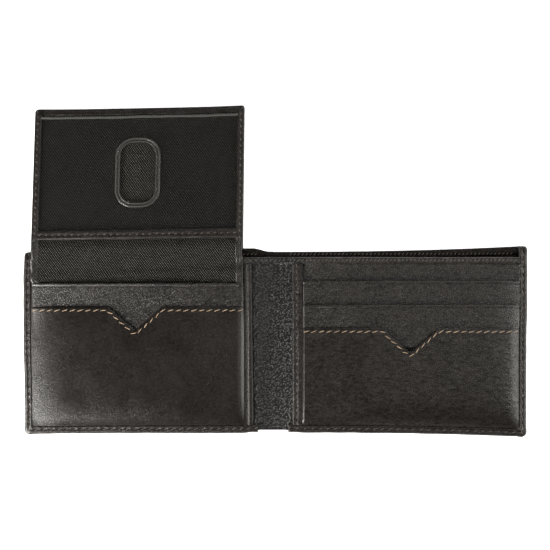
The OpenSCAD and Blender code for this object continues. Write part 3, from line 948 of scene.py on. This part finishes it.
def slot_ray(angle, width, height, radius):
    """Where a ray from the middle of a rounded slot meets its edge."""
    c, k = math.cos(angle), math.sin(angle)
    w, h = width / 2, height / 2
    flat = min(w / abs(c) if abs(c) > 1e-9 else 1e9, h / abs(k) if abs(k) > 1e-9 else 1e9)
    x, y = flat * c, flat * k
    if abs(x) > w - radius and abs(y) > h - radius:
        cx, cy = math.copysign(w - radius, c), math.copysign(h - radius, k)
        along = c * cx + k * cy
        inside = along * along - (cx * cx + cy * cy - radius * radius)
        reach = along + math.sqrt(max(inside, 0.0))
        return reach * c, reach * k
    return x, y


FILM_TOP = 5.95
FILM_LOW, FILM_HIGH = 52.4, 108.2
FILM_WAVY = 106.5  # the free edge waves from here on
RIM_STEPS = (0.0, 0.2, 0.35, 0.5, 0.65, 0.8, 1.0, 1.4, 1.65, 1.8, 1.95, 2.1, 2.25, 2.5, 3.0)


def rim_height(d):
    """The pressed rim of the thumb hole: two round ridges with a furrow between them."""
    return groove(d - 0.5, 0.24) + 0.95 * groove(d - 1.95, 0.26)


def film_rings(name, steps, border, material, node, ridge, lift=0.0, thick=0.28):
    """A sheet round the thumb hole: rings at steps from the hole's edge, then out to a border
    if there is one."""
    x0, x1 = -FLAP_OUT + EDGE_W - 0.6, -FLAP_IN - EDGE_W + 0.6
    y0, y1 = FILM_LOW, FILM_HIGH
    corners = [math.atan2(y - HOLE.y, x - HOLE.x) for x in (x0, x1) for y in (y0, y1)]
    angles = sorted([2 * math.pi * k / 120 - math.pi for k in range(120)] + corners)
    shares = [k / 16 for k in range(1, 17)] if border else []
    top, bottom = [], []
    for a in angles:
        line = []
        for d in steps:
            ex, ey = slot_ray(a, HOLE_W + 2 * d, HOLE_H + 2 * d, HOLE_R + d)
            line.append((HOLE.x + ex, HOLE.y + ey, d))
        if border:
            c, k = math.cos(a), math.sin(a)
            far_x = (x1 - HOLE.x) / c if c > 1e-9 else (x0 - HOLE.x) / c if c < -1e-9 else 1e9
            far_y = (y1 - HOLE.y) / k if k > 1e-9 else (y0 - HOLE.y) / k if k < -1e-9 else 1e9
            reach = min(far_x, far_y)
            sx, sy, sd = line[-1]
            for t in shares:
                line.append((
                    sx + (HOLE.x + reach * c - sx) * t,
                    sy + (HOLE.y + reach * k - sy) * t, sd + 30 * t,
                ))
        for x, y, d in line:
            held = puff(min(x - x0, x1 - x, max(y - y0, 0)), 9.0)
            z = FILM_TOP - 0.15 + held * (
                0.12 * ripple(x, y, 26.0, 40.0) + 0.03 * ripple(x, y, 9.0, 41.0)
            )
            if d < 3:
                z += ridge * rim_height(d)
            if y > FILM_WAVY:
                y += 0.4 * ripple(x, 0, 14.0, 50.0)
                z += 0.15 * ripple(x, 0, 10.0, 51.0)
            top.append(flap_place((x, y, z + lift)))
            bottom.append(flap_place((x, y, z + lift - thick)))
    n, m = len(angles), len(steps) + len(shares)
    shift, faces = n * m, []
    for i in range(n):
        e = (i + 1) % n
        for j in range(m - 1):
            a, b, c, d = i * m + j, e * m + j, e * m + j + 1, i * m + j + 1
            faces += [(a, b, c, d), (shift + a, shift + d, shift + c, shift + b)]
        faces.append((i * m, shift + i * m, shift + e * m, e * m))
        a, b = i * m + m - 1, e * m + m - 1
        faces.append((a, b, shift + b, shift + a))
    piece = mesh_piece(name, top + bottom, faces, [material])
    return finish_piece(piece, [node], body="id_flap")


def window_lip():
    """The window's free edge, where a card goes in: heat-rolled, thicker and wavy."""
    x0, x1 = -FLAP_OUT + EDGE_W - 0.4, -FLAP_IN - EDGE_W + 0.4
    across = [0.0, 0.12, 0.3, 0.5, 0.7, 0.88, 1.0]

    def place(x, t):
        y = 107.3 + 1.1 * t + 0.35 * ripple(x, 0, 14.0, 50.0)
        z = FILM_TOP - 0.1 + 0.2 * ripple(x, 0, 10.0, 51.0)
        arch = math.sin(math.pi * t)
        return x, y, z + 0.06 + 0.3 * arch, z - 0.3 * arch

    # the lip is drawn in the rim's vinyl, whose light grey is a painted highlight along the free
    # edge
    piece = sheet_piece("window_lip", spaced(x0, x1, 1.0), across, place, ["rim"], wrap=flap_place)
    return finish_piece(piece, ["flap_window"], body="id_flap")


# ---------------------------------------------------------------- stitches

STITCH_INPUTS = {
    "Pitch": 0.0036, "Length": 0.0022, "Thickness": 0.0005, "Slant": 0.3, "Jitter": 0.08,
}


def stitch_tree(material):
    """Geometry Nodes: stitches of one length laid along a path at an even pitch, each turned
    a little across it."""
    tree = bpy.data.node_groups.new("stitch_run", "GeometryNodeTree")
    face = tree.interface
    face.new_socket(name="Path", in_out="INPUT", socket_type="NodeSocketGeometry")
    for key, value in STITCH_INPUTS.items():
        socket = face.new_socket(name=key, in_out="INPUT", socket_type="NodeSocketFloat")
        socket.default_value = value
    face.new_socket(name="Stitches", in_out="OUTPUT", socket_type="NodeSocketGeometry")
    put = partial(add, tree)
    given = put("NodeGroupInput").outputs
    curve = put("GeometryNodeMeshToCurve", {0: given["Path"]})
    even = put("GeometryNodeResampleCurve", {
        "Curve": curve, "Length": given["Pitch"],
    }, mode="LENGTH")
    ball = put("GeometryNodeMeshUVSphere", {"Segments": 8, "Rings": 6, "Radius": 0.5})
    size = put("ShaderNodeCombineXYZ", {
        0: given["Length"], 1: given["Thickness"], 2: given["Thickness"],
    })
    soft = put("GeometryNodeSetShadeSmooth", {"Geometry": ball})
    stitch = put("GeometryNodeTransform", {"Geometry": soft, "Scale": size})
    along = put("GeometryNodeInputTangent")
    turn = put("FunctionNodeAlignRotationToVector", {"Vector": along}, axis="X", pivot_axis="AUTO")
    low = put("ShaderNodeMath", {0: given["Jitter"], 1: -1.0}, operation="MULTIPLY")
    off = put("FunctionNodeRandomValue", {
        2: low, 3: given["Jitter"], "Seed": 5,
    }, data_type="FLOAT")
    slant = put("ShaderNodeMath", {0: given["Slant"], 1: off}, operation="ADD")
    euler = put("ShaderNodeCombineXYZ", {2: slant})
    twist = put("FunctionNodeEulerToRotation", {0: euler})
    final = put("FunctionNodeRotateRotation", {
        "Rotation": turn, "Rotate By": twist,
    }, rotation_space="LOCAL")
    placed = put("GeometryNodeInstanceOnPoints", {
        "Points": even, "Instance": stitch, "Rotation": final,
    })
    real = put("GeometryNodeRealizeInstances", {0: placed})
    painted = put("GeometryNodeSetMaterial", {"Geometry": real, "Material": material})
    put("NodeGroupOutput", {0: painted})
    return tree


def stitch_run(name, paths, body, node, sizes, thread="seam"):
    """A seam's stitches along one or more paths of millimetre points, as one plain mesh. Sizes
    are pitch, length and thickness in metres, and the slant in radians."""
    mesh = bpy.data.meshes.new(name + "_path")
    points, edges = [], []
    for path in paths:
        first = len(points)
        points += [tuple(c * MM for c in p) for p in path]
        edges += [(k, k + 1) for k in range(first, len(points) - 1)]
    mesh.from_pydata(points, edges, [])
    guide = bpy.data.objects.new(name + "_path", mesh)
    bpy.context.collection.objects.link(guide)
    tree = stitch_tree(MATERIALS[thread])
    made = guide.modifiers.new("Stitches", "NODES")
    made.node_group = tree
    given = dict(zip(STITCH_INPUTS, sizes))
    for item in tree.interface.items_tree:
        if item.in_out == "INPUT" and item.name in given:
            made[item.identifier] = given[item.name]
    bpy.context.view_layer.update()
    seen = guide.evaluated_get(bpy.context.evaluated_depsgraph_get())
    result = bpy.data.meshes.new_from_object(seen)
    bpy.data.objects.remove(guide, do_unlink=True)
    if not result.polygons:
        raise RuntimeError(f"no stitches on {name}")
    piece = bpy.data.objects.new(name, result)
    bpy.context.collection.objects.link(piece)
    return finish_piece(piece, [node], body=body)


def straight(a, b, z, step=1.0):
    """Points from a to b at a height, or on a surface where z is a function."""
    n = max(2, math.ceil((Vector(b) - Vector(a)).length / step))
    out = []
    for k in range(n + 1):
        x, y = a[0] + (b[0] - a[0]) * k / n, a[1] + (b[1] - a[1]) * k / n
        out.append((x, y, z(x, y) if callable(z) else z))
    return out


# ---------------------------------------------------------------- operators

WARM = (1.0, 0.97, 0.92)  # the colour of the studio's lamps


class WALLET_OT_stage(bpy.types.Operator):
    """Sets the pale floor, the soft light and the camera above the open wallet"""

    bl_idname = "wallet.stage"
    bl_label = "Stage"

    def execute(self, context):
        hue = context.scene.wallet_colours
        bpy.ops.mesh.primitive_plane_add(size=6, location=(0, 0, -0.0004))
        floor = context.object
        floor.name = "floor"
        paper, put, _ = new_material("pale_floor")
        matt = put("ShaderNodeBsdfPrincipled", {
            "Base Color": (*hue.floor, 1.0), "Roughness": 0.9, "Specular IOR Level": 0.1,
            "Emission Color": (1, 1, 1, 1), "Emission Strength": 0.85,
        })
        put("ShaderNodeOutputMaterial", {"Surface": matt})
        floor.data.materials.append(paper)

        world = bpy.data.worlds.new("studio")
        context.scene.world = world
        world.use_nodes = True
        world.node_tree.nodes.clear()
        put = partial(add, world.node_tree)
        way = put("ShaderNodeTexCoord").outputs["Generated"]
        up = put("ShaderNodeSeparateXYZ", {0: way})
        # bright from the sides and dim from above
        level = put("ShaderNodeMapRange", {
            "Value": up.outputs["Z"], "From Min": 0.2, "From Max": 0.6, "To Min": 0.5,
            "To Max": 0.07,
        })
        glow = put("ShaderNodeBackground", {"Color": (*WARM, 1.0), "Strength": level})
        put("ShaderNodeOutputWorld", {"Surface": glow})

        # soft boxes: name, azimuth, elevation, distance, size, power
        for name, azimuth, lift, away, size, power in (
            ("left_box", 214, 29, 0.6, 0.38, 12.0),
            ("right_box", 357, 24, 0.8, 0.45, 3.6),
            ("back_box", 70, 26, 0.8, 0.3, 2.1),
            ("top_box", 12, 66, 1.0, 0.5, 1.8),
        ):
            light = bpy.data.lights.new(name, "AREA")
            light.shape, light.size, light.energy = "DISK", size, power
            light.color = WARM
            lamp = bpy.data.objects.new(name, light)
            a, e = math.radians(azimuth), math.radians(lift)
            lamp.location = (
                away * math.cos(a) * math.cos(e), away * math.sin(a) * math.cos(e),
                away * math.sin(e),
            )
            lamp.rotation_euler = (-lamp.location).to_track_quat("-Z", "Y").to_euler()
            context.collection.objects.link(lamp)

        # a long lens straight above, over the middle of the opened wallet
        eye = bpy.data.cameras.new("camera")
        eye.lens, eye.sensor_width = 85.0, 36.0
        camera = bpy.data.objects.new("camera", eye)
        camera.location = (0.0009, 0.0317, 0.6275)
        context.collection.objects.link(camera)
        context.scene.camera = camera
        context.scene.view_settings.view_transform = "Standard"
        return {"FINISHED"}


class WALLET_OT_shell(bpy.types.Operator):
    """Makes the outer shell, its turned top edge and the twill of the banknote compartment"""

    bl_idname = "wallet.shell"
    bl_label = "Shell and compartment"

    def execute(self, context):
        for s in (-1, 1):
            side = SIDE[s]
            shell_half(s)
            lining_half(
                s, f"shell_twill_{side}", 1.1, [f"shell_lining_{side}", "shell_lining_spine"],
            )
            lining_half(s, f"panel_twill_{side}", 2.6, [f"panel_lining_{side}", "gutter_lining"])
            panel_half(s)
            foot_roll(s)
        return {"FINISHED"}


class WALLET_OT_edges(bpy.types.Operator):
    """Makes the turned edges of the two leaves and the strips beside the gutter"""

    bl_idname = "wallet.edges"
    bl_label = "Turned edges"

    def execute(self, context):
        for s in (-1, 1):
            binding(s)
            gutter_strip(s)
        return {"FINISHED"}


class WALLET_OT_pockets(bpy.types.Operator):
    """Makes the slip pocket, the card slots and the two notched pockets"""

    bl_idname = "wallet.pockets"
    bl_label = "Pockets"

    def execute(self, context):
        for pocket, name, material, node in (
            (SLIP, "slip_pocket_face", "pocket", "slip_pocket_left"),
            (NOTCHED_L, "notched_pocket_face_left", "taut", "notched_pocket_left"),
            (SLOT_UP, "card_slot_upper", "pocket", "slot_upper_right"),
            (SLOT_UP_TAIL, "card_slot_upper_twill", "twill", "slot_upper_lining_right"),
            (SLOT_LOW, "card_slot_lower", "pocket", "slot_lower_right"),
            (SLOT_LOW_TAIL, "card_slot_lower_twill", "twill", "slot_lower_lining_right"),
            (NOTCHED_R, "notched_pocket_face_right", "milled", "notched_pocket_right"),
        ):
            piece, side = pocket.build(name, material), pocket.s
            if material != "twill":
                nodes = [node, f"pocket_seams_{SIDE[side]}"]
                finish_piece(piece, nodes, body=LEAF[side])
                continue
            finish_piece(piece, [node], body=LEAF[side])
        return {"FINISHED"}


class WALLET_OT_flap(bpy.types.Operator):
    """Makes the flip-up identity flap: leather, twill, edging, clear window and foot band"""

    bl_idname = "wallet.flap"
    bl_label = "Identity flap"

    def execute(self, context):
        # each part: its names' end, its CAD leather and twill, the twill's inset and flat size
        parts = (
            ("tab", "_tab", "flap_tab", "flap_tab_lining", 3.3, (91.9, 17.7), NEAR_BEND),
            ("flap", "", "flap_back", "flap_lining", 3.0, (93.3, 70.2), FAR_BEND),
        )
        for part, end, leather, _, _, _, bend in parts:
            flap_layer(f"flap_leather{end}", part, 0.0, [leather, "fold_strip"], bend)
        for part, end, _, lining, inset, flat, bend in parts:
            nodes = [lining, "fold_strip_lining"]
            twill = flap_layer(f"flap_twill{end}", part, inset, nodes, bend)
        flap_edging()
        flap_foot()
        film_rings("window_film", RIM_STEPS, True, "film", "flap_window", 0.12)
        window_lip()
        # the rim's light grey is a painted highlight on its two ridges
        film_rings(
            "thumb_hole_rim", RIM_STEPS[1:-1], False, "rim", "thumb_rim", 0.55, lift=-0.3,
            thick=0.05,
        )
        return {"FINISHED"}


class WALLET_OT_stitches(bpy.types.Operator):
    """Sews every seam: contrast stitches on the notched pockets and brown ones elsewhere"""

    bl_idname = "wallet.stitches"
    bl_label = "Stitches"

    def execute(self, context):
        size = context.scene.wallet_sizes
        accent = (size.stitch_pitch, size.stitch_length, size.thread, 0.3)
        for side, pocket in (("left", NOTCHED_L), ("right", NOTCHED_R)):
            stitch_run(
                f"contrast_stitches_{side}", [pocket.mouth_seam(MOUTH_SEAM)], f"{side}_leaf",
                f"thread_pocket_{side}", accent, "accent",
            )
        hem_y, hem_sizes = PANEL_TOP - 1.5, (0.0019, 0.0014, 0.00036, 0.8)
        for s in (-1, 1):
            side, leaf = SIDE[s], LEAF[s]
            x, y = s * (REACH[s] - BINDING + EDGE_SEAM), FOOT - EDGE_SEAM
            edge = [lie(p) for p in straight((x, HALF_H - 2), (x, y), 3.9)]
            foot = [lie(p) for p in straight((x, y), (s * 8.0, y), 3.9)]
            stitch_run(f"edge_stitches_{side}", [edge, foot], leaf, f"thread_edge_{side}",
                       (EDGE_PITCH * MM, 0.002, 0.00042, 0.45))
            u = GUTTER_IN + STRIP_SEAM[s]
            gutter = [lie(p) for p in straight((s * u, FOOT + 0.5), (s * u, PANEL_TOP - 4), 4.32)]
            stitch_run(f"gutter_stitches_{side}", [gutter], leaf, f"thread_gutter_{side}",
                       (0.0031, 0.0017, 0.00035, 0.2))
            out = GUTTER_OUT if s < 0 else REACH[s] - BINDING - 0.5
            hem = straight((s * 8.4, hem_y), (s * out, hem_y), hem_height)
            top = straight((s * 8.4, 41.6), (s * (REACH[s] - 6), 42.0), 2.1)
            stitch_run(f"hem_stitches_{side}", [hem, top], leaf, f"thread_hem_{side}", hem_sizes)
        spine = straight((-5.4, hem_y), (5.4, hem_y), hem_height)
        stitch_run("hem_stitches_spine", [spine], "spine", "thread_hem_spine", hem_sizes)
        runs = []
        for x in (-FLAP_OUT + FLAP_SEAM, -FLAP_IN - FLAP_SEAM):
            runs.append(straight((x, 46), (x, FLAP_FAR - 4), 5.85))
        runs.append(straight((-FLAP_OUT + 4.2, FOOT_SEAM), (-FLAP_IN - 4.2, FOOT_SEAM), 5.92))
        runs = [[flap_place(p) for p in run] for run in runs]
        stitch_run("flap_stitches", runs, "id_flap", "thread_flap", (0.0031, 0.0013, 0.0006, 0.5))
        return {"FINISHED"}


class WALLET_PT_panel(bpy.types.Panel):
    """Shows a button for each building step, and the wallet's sizes and colours"""

    bl_idname = "WALLET_PT_panel"
    bl_label = "Wallet"
    bl_space_type = "VIEW_3D"
    bl_region_type = "UI"
    bl_category = "Wallet"

    def draw(self, context):
        for made in OPERATORS:
            self.layout.operator(made.bl_idname)
        for group in (context.scene.wallet_sizes, context.scene.wallet_colours):
            for key in group.bl_rna.properties.keys():
                if key not in ("rna_type", "name"):
                    self.layout.prop(group, key)


OPERATORS = (
    WALLET_OT_stage,
    WALLET_OT_shell,
    WALLET_OT_edges,
    WALLET_OT_pockets,
    WALLET_OT_flap,
    WALLET_OT_stitches,
)
CLASSES = (WalletSizes, WalletColours, *OPERATORS, WALLET_PT_panel)


def register():
    for made in CLASSES:
        bpy.utils.register_class(made)
    bpy.types.Scene.wallet_sizes = PointerProperty(type=WalletSizes)
    bpy.types.Scene.wallet_colours = PointerProperty(type=WalletColours)


def unregister():
    del bpy.types.Scene.wallet_colours
    del bpy.types.Scene.wallet_sizes
    for made in reversed(CLASSES):
        bpy.utils.unregister_class(made)


def main():
    """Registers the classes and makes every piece."""
    register()
    make_materials()
    bpy.ops.wallet.stage()
    bpy.ops.wallet.shell()
    bpy.ops.wallet.edges()
    bpy.ops.wallet.pockets()
    bpy.ops.wallet.flap()
    bpy.ops.wallet.stitches()
    bpy.context.view_layer.update()


if __name__ == "__main__":
    main()
